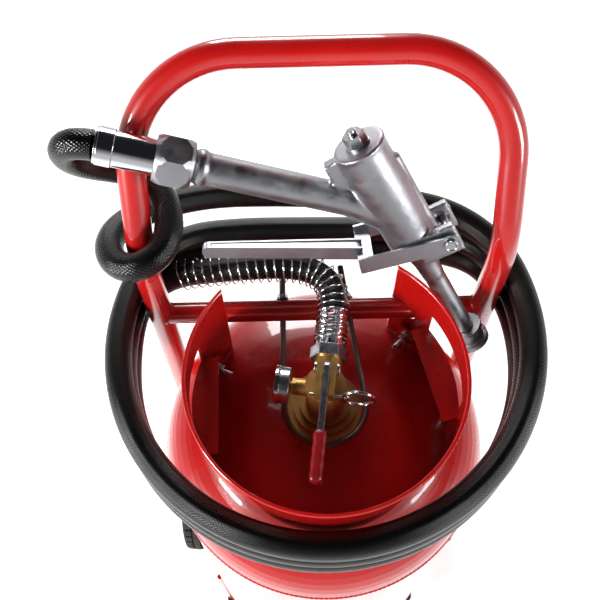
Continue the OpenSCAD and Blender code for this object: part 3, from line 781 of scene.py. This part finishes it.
@dataclass
class Hose:
    """The discharge hose, from the valve round the collar to the spray gun, and its spring guard."""

    radius: float = HOSE_R
    loop_r: float = LEG_X + TUBE_R + HOSE_R + 8
    loop_y: float = 50.0
    backs: tuple[float, float] = (117.0, 134.0)
    turns: tuple[float, float] = (165.0, 1100.0)
    pitch: float = 26.5
    loop_z: float = RIM_Z - 93
    guard_pitch: float = 9.0
    guard_start_pitch: float = 4.6
    guard_wire: float = 0.9
    guard_slack: float = 1.9
    guard_length: float = 205.0
    tight_length: float = 60.0
    wire_step: float = 0.5
    spacing: float = 6.5
    sides: int = 20
    length: float = 4.1

    def lead(self) -> list[Point]:
        """Route from the valve's ferrule down to the coil."""
        return [
            (10.4, 79.3, PORT_Z), (13, 97, PORT_Z), (9, 115, PORT_Z), (-8, 129, PORT_Z), (-36, 135, PORT_Z),
            (-75, 136, PORT_Z - 3), (-112, 137, PORT_Z - 10), (-148, 138, PORT_Z - 20), (-178, 128, PORT_Z - 32),
            (-195, 101, PORT_Z - 44),
        ]

    def coil(self) -> list[Point]:
        """Route of the turns round the collar, flattened behind the legs."""
        out = []
        low, high = self.turns
        count = round((high - low) / 15)
        for i in range(1, count):
            a = low + (high - low) * i / count
            s = math.sin(math.radians(a))
            back = self.backs[0] + (self.backs[1] - self.backs[0]) * (a - low) / (high - low)
            r = self.loop_r / (1 + max(0.0, self.loop_r * s / back) ** 8) ** 0.125
            out.append((
                r * math.cos(math.radians(a)), self.loop_y + r * s, self.loop_z + self.pitch * (a - low) / 360
            ))
        return out

    def tail(self) -> list[Point]:
        """Route from the coil round the left leg and up to the gun."""
        steps = [
            (187, 118, -24), (165, 152, -20), (125, 177, -13), (70, 187, -6), (10, 190, 0), (-50, 190, 5),
            (-110, 183, 14), (-160, 163, 25), (-190, 134, 38), (-195, 104, 49), (-181, 80, 57), (-160, 77, 62),
            (-140, 92, 67), (-136, 121, 72), (-147, 150, 78), (-171, 163, 86), (-196, 160, 98), (-211, 154, 113),
            (-218, 149, 129), (-217, 145, 144), (-210, 142, 155), (-200, 140, 159), (-187, 139, 156),
        ]
        return [(x, y, RIM_Z + z) for x, y, z in steps]

    def centreline(self) -> list[Vector]:
        """The whole route as one eased line of evenly spaced points."""
        line = smooth_route(self.lead() + self.coil() + self.tail(), 6)
        return eased(respaced(line, self.spacing), 6)

    def build(self) -> None:
        """Makes the hose and the wire wound over its first stretch."""
        line = self.centreline()
        real = sum((b - a).length for a, b in zip(line, line[1:])) / 1000
        log.info("hose centreline %.3f m", real)
        tube = finish_object("hose", sweep(line, [self.radius] * len(line), self.sides), ON_AXIS, crease=60)
        place(tube, HOSE_COVER, stands_for=["hose_lead", "hose_coil", "hose_tail"])
        guard = self.guard(line)
        place(guard, CHROME, stands_for=["spring_guard"])

    def guard(self, line: Sequence[Vector]) -> bpy.types.Object:
        """Winds the spring guard round the hose.

        Args:
            line: The hose's centreline.

        Returns:
            The guard's wire.
        """
        lean = VALVE_TURN
        ferrule = [Vector((y * math.sin(lean), y * math.cos(lean), PORT_Z)) for y in range(46, 78, 4)]
        covered = list(line[: round(self.guard_length / self.spacing)])
        fine = eased(respaced(ferrule + covered, self.wire_step), 8)
        wire, a = [], 0.0
        for i, (_, side, up) in enumerate(walk(fine)):
            tight = max(0.0, 1 - i * self.wire_step / self.tight_length)
            pitch = self.guard_pitch - tight * (self.guard_pitch - self.guard_start_pitch)
            a += 2 * math.pi * self.wire_step / pitch
            stand = self.radius + self.guard_wire + self.guard_slack
            wire.append(fine[i] + stand * (math.cos(a) * side + math.sin(a) * up))
        return finish_object("spring_guard_wire", sweep(wire, [self.guard_wire] * len(wire), 8), ON_AXIS, crease=60)


# ---------------------------------------------------------------- cylinder and collar


def bead(line: Sequence[Vector], size: float, ripple: float) -> bmesh.types.BMesh:
    """Lays a weld bead with its scales along a line.

    Args:
        line: The seam, in millimetres.
        size: The bead's radius.
        ripple: The distance between two scales.

    Returns:
        The bead's mesh.
    """
    fine = respaced(line, ripple / 3)
    radii = [size * (0.86 + 0.14 * math.sin(2 * math.pi * i / 3 + 0.4)) for i in range(len(fine))]
    return sweep(fine, radii, 8)


def ring_line(radius: float, z: float, count: int = 120) -> list[Vector]:
    """A closed level ring about the cylinder's axis."""
    return [
        Vector((radius * math.cos(2 * math.pi * i / count), radius * math.sin(2 * math.pi * i / count), z))
        for i in range(count + 1)
    ]


@dataclass
class Cylinder:
    """The pressure cylinder with its neck and seam welds."""

    seam: float = 2.0
    neck_r: float = 35.2
    neck_z: float = 775.6
    neck_seam: float = 2.4

    def build(self) -> None:
        """Dresses the shell and lays the two seams that join the domes to the barrel."""
        keep(["tank_shell"], RED)
        soften("neck_boss", RED, 0.8)
        seams = joined(bead(ring_line(TANK_R - 0.6, z), self.seam, 5.0) for z in BARREL_Z)
        place(finish_object("dome_seams", seams, ON_AXIS), RED)
        neck = bead(ring_line(self.neck_r, self.neck_z, 72), self.neck_seam, 4.0)
        place(finish_object("neck_weld", neck, ON_AXIS), RED)


@dataclass
class Collar:
    """The sheet collar round the valve, bolted to three lugs."""

    sheet_edge: float = 0.5
    lugs: tuple[float, ...] = (42.0, 156.0, 276.0)
    lug_r: float = 125.0
    lug_foot_z: float = 755.5

    def build(self) -> None:
        """Eases the collar's cut edges and dresses its fixings."""
        soften("collar", RED, self.sheet_edge, angle=40)
        soften("collar_lugs", RED, 0.5)
        soften("collar_bolts", ZINC, 0.7)
        beads = []
        for azimuth in self.lugs:
            foot = [Vector((self.lug_r - 5, y, self.lug_foot_z - abs(y) * 0.04)) for y in (-14, -7, 0, 7, 14)]
            beads.append(turned(bead(foot, 2.2, 3.5), Matrix.Rotation(math.radians(azimuth), 4, "Z")))
        place(finish_object("lug_welds", joined(beads), ON_AXIS), RED)


# ---------------------------------------------------------------- trolley


@dataclass
class Trolley:
    """The tube frame with its cross bar, straps, feet and axle."""

    strap_z: tuple[float, float] = (265.0, 613.0)
    strap_half: float = 20.0

    def joint(self, side: int) -> bmesh.types.BMesh:
        """Weld round the cross bar where it meets a leg.

        Args:
            side: 1 for the right leg, -1 for the left.

        Returns:
            The weld's mesh.
        """
        line = []
        for i in range(37):
            a = 2 * math.pi * i / 36
            y, z = BAR_R * math.cos(a), BAR_R * math.sin(a)
            line.append(Vector((side * (LEG_X - math.sqrt(max(0.0, TUBE_R**2 - y * y))), LEG_Y + y, BAR_Z + z)))
        return bead(line, 1.9, 3.2)

    def strap_seams(self) -> list[bmesh.types.BMesh]:
        """Welds along the upper and lower edges of both straps.

        Returns:
            The welds' meshes.
        """
        seams = []
        for z in self.strap_z:
            for dz in (-self.strap_half, self.strap_half):
                for start in (34, 76, 118):
                    turns = [math.radians(start + k * 4) for k in range(8)]
                    line = [Vector(((TANK_R + 1) * math.cos(a), (TANK_R + 1) * math.sin(a), z + dz)) for a in turns]
                    seams.append(bead(line, 2.2, 3.6))
        return seams

    def build(self) -> None:
        """Dresses the frame's tubes and adds its welds."""
        keep(["handle_frame", "neck_bar", "front_feet"], RED)
        soften("rear_straps", RED, 0.8)
        place(finish_object("frame_welds", joined([self.joint(1), self.joint(-1)]), ON_AXIS), RED)
        place(finish_object("strap_welds", joined(self.strap_seams()), ON_AXIS), RED)
        soften("foot_pads", RUBBER, 1.5)
        keep(["axle", "axle_spacers", "split_pins"], ZINC)
        soften("axle_washers", ZINC, 0.4)


@dataclass
class Wheel:
    """One wheel: a pressed disc, a nylon bearing and a solid tyre with block tread."""

    side: int
    outer: float = 100.0
    width: float = 45.0
    rim: float = 70.0
    centre_x: float = 208.0
    axle_z: float = 100.0
    blocks: int = 40
    tread_depth: float = 2.6

    def tyre(self) -> bmesh.types.BMesh:
        """Turns the tyre's outline and sinks the gaps between its tread blocks.

        Returns:
            The tyre's mesh, about its own axis on Z.
        """
        h, r = self.width / 2, self.outer
        outline = [
            (self.rim, -h + 5), (self.rim, h - 5), (self.rim + 10, h - 4.5), (r - 19, h - 2.5), (r - 14, h - 1.2),
            (r - 8, h - 1.0), (r - 4.2, h - 2.6), (r - 2.2, h - 6), (r - 1.2, 7.5), (r - 4.2, 6.9), (r - 4.2, 5.1),
            (r - 0.6, 4.5), (r - 0.1, 0), (r - 0.6, -4.5), (r - 4.2, -5.1), (r - 4.2, -6.9), (r - 1.2, -7.5),
            (r - 2.2, -h + 6), (r - 4.2, -h + 2.6), (r - 8, -h + 1.0), (r - 14, -h + 1.2), (r - 19, -h + 2.5),
            (self.rim + 10, -h + 4.5),
        ]
        bm = lathe(outline, self.blocks * 4, closed=True)
        gaps = []
        for f in bm.faces:
            c = f.calc_center_median()
            far = math.hypot(c.x, c.y)
            turn = (math.atan2(c.y, c.x) / (2 * math.pi) * self.blocks) % 1
            if far > r - 3.4 and turn < 0.25 and 7.6 < abs(c.z) < h - 5.5:
                gaps.append(f)
        moved = bmesh.ops.extrude_discrete_faces(bm, faces=gaps)["faces"] if gaps else []
        for f in moved:
            for v in f.verts:
                flat = Vector((v.co.x, v.co.y, 0))
                v.co -= flat.normalized() * self.tread_depth
        bmesh.ops.remove_doubles(bm, verts=bm.verts, dist=1e-4)
        bmesh.ops.recalc_face_normals(bm, faces=bm.faces)
        return bm

    def build(self) -> None:
        """Makes the tyre and dresses the disc and its bearing."""
        name = "right" if self.side > 0 else "left"
        to_wheel = (
            ON_AXIS @ Matrix.Translation((self.side * self.centre_x, LEG_Y, self.axle_z))
            @ Matrix.Rotation(math.pi / 2, 4, "Y")
        )
        tyre = finish_object(f"tyre_{name}_tread", self.tyre(), to_wheel, crease=28)
        place(tyre, TYRE, f"wheel_{name}", [f"tyre_{name}"])
        soften(f"wheel_disc_{name}", WHEEL_COAT, 0.8, f"wheel_{name}", angle=26)
        keep([f"wheel_bush_{name}"], NYLON)


@dataclass
class NeckClamp:
    """The bent rod that holds the neck to the cross bar."""

    rod_r: float = 3.0
    bend_r: float = 40.0
    toe: float = 7.0
    start_y: float = -6.0
    end_y: float = 148.0
    thread_pitch: float = 1.4
    thread_length: float = 30.0

    def thread(self, side: int) -> bmesh.types.BMesh:
        """Winds the thread of one rod end.

        Args:
            side: 1 for the right end of the rod, -1 for the left.

        Returns:
            A fine ridge wound round the rod.
        """
        lean = math.tan(math.radians(self.toe)) if side > 0 else 0.0
        count = round(self.thread_length / self.thread_pitch) * 10
        line = []
        for i in range(count + 1):
            y = self.end_y - 0.6 - self.thread_length * i / count
            a = 2 * math.pi * i / 10
            x = side * self.bend_r - (y - self.start_y) * lean
            line.append(Vector((x + self.rod_r * math.cos(a), y, BAR_Z + self.rod_r * math.sin(a))))
        return sweep(line, [0.42] * len(line), 4)

    def build(self) -> None:
        """Dresses the rod and its nuts and adds the threads."""
        keep(["neck_clamp"], OXIDE)
        soften("neck_clamp_nuts", ZINC, 0.5)
        place(finish_object("clamp_threads", joined([self.thread(1), self.thread(-1)]), ON_AXIS), OXIDE)


# ---------------------------------------------------------------- valve


@dataclass
class Valve:
    """The brass valve with its lever, grip and safety pin."""

    lever_z: tuple[float, float] = (866.0, 878.0)
    grip_y: tuple[float, float] = (-50.0, -99.0)
    pin_at: tuple[float, float] = (-12.0, 860.5)
    pin_end: float = 17.0
    ring_r: float = 15.0
    spring_low: float = 799.7
    spring_share: float = 0.79

    def grip(self) -> bmesh.types.BMesh:
        """Dips the lever's end in vinyl: a soft bar with four shallow finger rolls.

        Returns:
            The grip's mesh.
        """
        y0, y1 = self.grip_y
        z = sum(self.lever_z) / 2
        bm = block((12, y0 - y1, 17), (0, (y0 + y1) / 2, z), 4.2, 4)
        cuts = [y1 + (y0 - y1) * k / 28 for k in range(1, 28)]
        for y in cuts:
            bmesh.ops.bisect_plane(
                bm, geom=[*bm.verts, *bm.edges, *bm.faces], plane_co=Vector((0, y, 0)), plane_no=Vector((0, 1, 0))
            )
        for v in bm.verts:
            roll = 0.5 + 0.5 * math.cos(2 * math.pi * (v.co.y - y1) / 12.2)
            pull = 1 - 0.075 * roll
            v.co.x *= pull
            v.co.z = z + (v.co.z - z) * pull
        bmesh.ops.recalc_face_normals(bm, faces=bm.faces)
        return bm

    def pull_ring(self) -> bmesh.types.BMesh:
        """Bends the safety pin from one wire: the pin, a small eye and a double-turn ring.

        Returns:
            The pin's mesh.
        """
        y, z = self.pin_at
        pin = sweep([Vector((-14 + 31.5 * i / 12, y, z)) for i in range(13)], [1.6] * 13, 14)
        eye = []
        for i in range(25):
            a = 2 * math.pi * i / 24
            eye.append(Vector((self.pin_end + 2.6 + 2.6 * math.cos(a), y, z + 2.6 * math.sin(a))))
        ring = []
        for i in range(101):
            a = 4 * math.pi * i / 100 + math.pi
            ring.append(Vector((
                self.pin_end + self.ring_r + self.ring_r * math.cos(a) - 0.2, y - 1.0 + 2.0 * i / 100,
                z + self.ring_r * math.sin(a),
            )))
        return joined([pin, sweep(eye, [1.3] * 25, 10), sweep(ring, [1.15] * 101, 10)])

    def build(self) -> None:
        """Dresses the valve and makes its grip and safety pin."""
        keep(["neck_seal"], RUBBER)
        soften("valve_body", BRASS, 0.6)
        keep(["siphon_tube", "valve_stem"], ZINC)
        squeezed("valve_spring", CHROME)
        soften("valve_lever", ZINC, 0.7, "valve_lever")
        grip = finish_object("lever_grip_vinyl", self.grip(), AT_VALVE, crease=60)
        place(grip, VINYL, "valve_lever", ["lever_grip"])
        soften("lever_pivot", ZINC, 0.5)
        pin = finish_object("safety_pin_wire", self.pull_ring(), AT_VALVE, crease=60)
        place(pin, CHROME, "safety_pin", ["safety_pin"])


@dataclass
class Gauge:
    """The pressure gauge on the valve's left side, facing away from it."""

    face_x: float = -37.4
    case_x: float = -46.0

    def sector(self, start: float, stop: float, inner: float, outer: float, lift: float) -> bmesh.types.BMesh:
        """Cuts a flat arc of ink.

        Args:
            start: Its first angle in degrees, from the top.
            stop: Its last angle.
            inner: Its inner radius.
            outer: Its outer radius.
            lift: How far it stands off the card.

        Returns:
            The arc's mesh, in the valve's frame.
        """
        bm = bmesh.new()
        a = math.radians(start)
        verts = [bm.verts.new((0, r * math.sin(a), r * math.cos(a))) for r in (inner, outer)]
        edge = bm.edges.new(verts)
        bmesh.ops.spin(
            bm, geom=[*verts, edge], cent=(0, 0, 0), axis=(-1, 0, 0), angle=math.radians(stop - start),
            steps=max(2, round(abs(stop - start) / 5)), use_merge=False,
        )
        bmesh.ops.solidify(bm, geom=bm.faces, thickness=0.08)
        bmesh.ops.translate(bm, vec=Vector((self.face_x - lift, 0, PORT_Z)), verts=bm.verts)
        bmesh.ops.recalc_face_normals(bm, faces=bm.faces)
        return bm

    def build(self) -> None:
        """Dresses the case and prints the dial."""
        soften("gauge_case", ZINC, 0.6, angle=40)
        outline = [(16.4, -1.4), (17.4, -1.9), (18.6, -1.2), (18.9, 0.6), (18.4, 2.6), (17.5, 3.0)]
        bezel = lathe(outline, 56, closed=True)
        bezel = turned(bezel, Matrix.Translation((self.case_x, 0, PORT_Z)) @ Matrix.Rotation(math.pi / 2, 4, "Y"))
        place(finish_object("gauge_bezel", bezel, AT_VALVE, crease=50), CHROME)
        soften("gauge_stem", BRASS, 0.4)
        keep(["gauge_dial"], DIAL)
        keep(["gauge_needle"], INK)
        keep(["gauge_lens"], LENS)
        ticks = [self.sector(a - 1.2, a + 1.2, 11.4, 14.4, 0.12) for a in range(-120, 121, 20)]
        place(finish_object("dial_ticks", joined(ticks), AT_VALVE), INK)
        place(finish_object("dial_working_band", self.sector(-30, 60, 8.6, 11.0, 0.1), AT_VALVE), GREEN_INK)
        bands = [self.sector(-120, -32, 8.6, 11.0, 0.1), self.sector(62, 120, 8.6, 11.0, 0.1)]
        place(finish_object("dial_warning_bands", joined(bands), AT_VALVE), RED_INK)


@dataclass
class Outlet:
    """The fittings that join the hose to the valve."""

    edge: float = 0.8

    def build(self) -> None:
        """Eases the nut's corners and the crimped ferrule's rings."""
        soften("outlet_nut", ZINC, self.edge)
        soften("outlet_ferrule", CHROME, 0.4)


# ---------------------------------------------------------------- spray gun


@dataclass
class Gun:
    """The squeeze-lever spray gun at the end of the hose."""

    grain: float = 1.5
    housing_r: float = 22.5
    housing_end: float = -78.0
    spring_seat: float = -59.0
    spring_share: float = 0.9
    tip_narrowing: float = 0.42
    knee: tuple[float, float] = (22.0, 45.0)
    tip: tuple[float, float] = (-47.0, 165.0)

    def cast_details(self) -> list[bmesh.types.BMesh]:
        """Shapes that only the casting has: an end rim, a swell, a throat, a back rib and a side strap.

        Returns:
            Closed meshes, in the gun's own frame.
        """
        on_nozzle = Matrix.Rotation(math.pi / 2, 4, "Y")
        x, r = self.housing_end, self.housing_r
        rim = [(r - 3, x), (r + 0.8, x + 0.6), (r + 1.1, x + 2.4), (r - 1.0, x + 4.6), (r - 3, x + 4.6)]
        swell = [(r - 2, -60), (r + 0.4, -52), (r + 1.3, -30), (r + 1.0, -8), (r + 0.2, 14), (r - 2, 26)]
        throat = [(8, 40), (17, 44), (13.5, 54), (11.4, 66), (10.4, 84), (8, 84)]
        turnings = [
            turned(lathe(outline, steps, closed=True), on_nozzle)
            for outline, steps in ((rim, 64), (swell, 64), (throat, 48))
        ]
        rib = block((92, 9, 6), (-8, 0, -r - 0.5), 2.2, 3)
        strap = block((74, 5, 7), (-2, -r - 0.6, 7), 2.0, 3)
        return [*turnings, rib, strap]

    def casting(self) -> bpy.types.Object:
        """Melts the housing, its pipe and the cast details into one skin with soft fillets.

        Returns:
            The casting.
        """
        metres = joined(turned(bm, AT_GUN) for bm in self.cast_details())
        shapes = joined([merged("gun_body"), merged("gun_inlet"), metres])
        whole = finish_object("gun_casting", shapes, Matrix.Identity(4))
        skin = whole.modifiers.new("skin", "REMESH")
        skin.mode, skin.voxel_size = "VOXEL", self.grain / 1000
        soft = whole.modifiers.new("soft", "SMOOTH")
        soft.factor, soft.iterations = 0.5, 5
        even = bpy.data.meshes.new_from_object(whole.evaluated_get(bpy.context.evaluated_depsgraph_get()))
        whole.modifiers.clear()
        whole.data = even
        even.shade_smooth()
        return whole

    def taper(self, bm: bmesh.types.BMesh) -> None:
        """Narrows the lever's channel from its shoulder to its rounded tip.

        Args:
            bm: The lever, in metres in the part's frame.
        """
        to_gun = AT_GUN.inverted()
        start, end = Vector(self.knee), Vector(self.tip)
        run = (end - start).length
        for v in bm.verts:
            at = to_gun @ v.co
            share = (Vector((at.x, at.z)) - start).dot(end - start) / run / run
            if share > 0.06:
                at.y *= 1 - self.tip_narrowing * min(1.0, share)
                v.co = AT_GUN @ at

    def build(self) -> None:
        """Dresses the casting, its fittings and its lever."""
        soften("gun_ferrule", CHROME, 0.6)
        soften("gun_nut", CASTING, 0.8)
        place(self.casting(), CASTING, stands_for=["gun_body", "gun_inlet"])
        soften("gun_cap", ZINC, 0.5)
        soften("gun_tip", CASTING, 0.7)
        soften("gun_lever", CASTING, 0.8, "gun_lever", reshape=self.taper)
        soften("gun_lever_pin", ZINC, 0.6)
        keep(["gun_piston"], ZINC)
        squeezed("gun_spring", CHROME)


def main() -> None:
    """Builds the extinguisher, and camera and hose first."""
    Studio().build()
    Hose().build()
    for part in (Cylinder(), Collar(), Trolley(), Wheel(-1), Wheel(1), NeckClamp(), Valve(), Gauge(), Outlet(), Gun()):
        part.build()


if __name__ == "__main__":
    main()
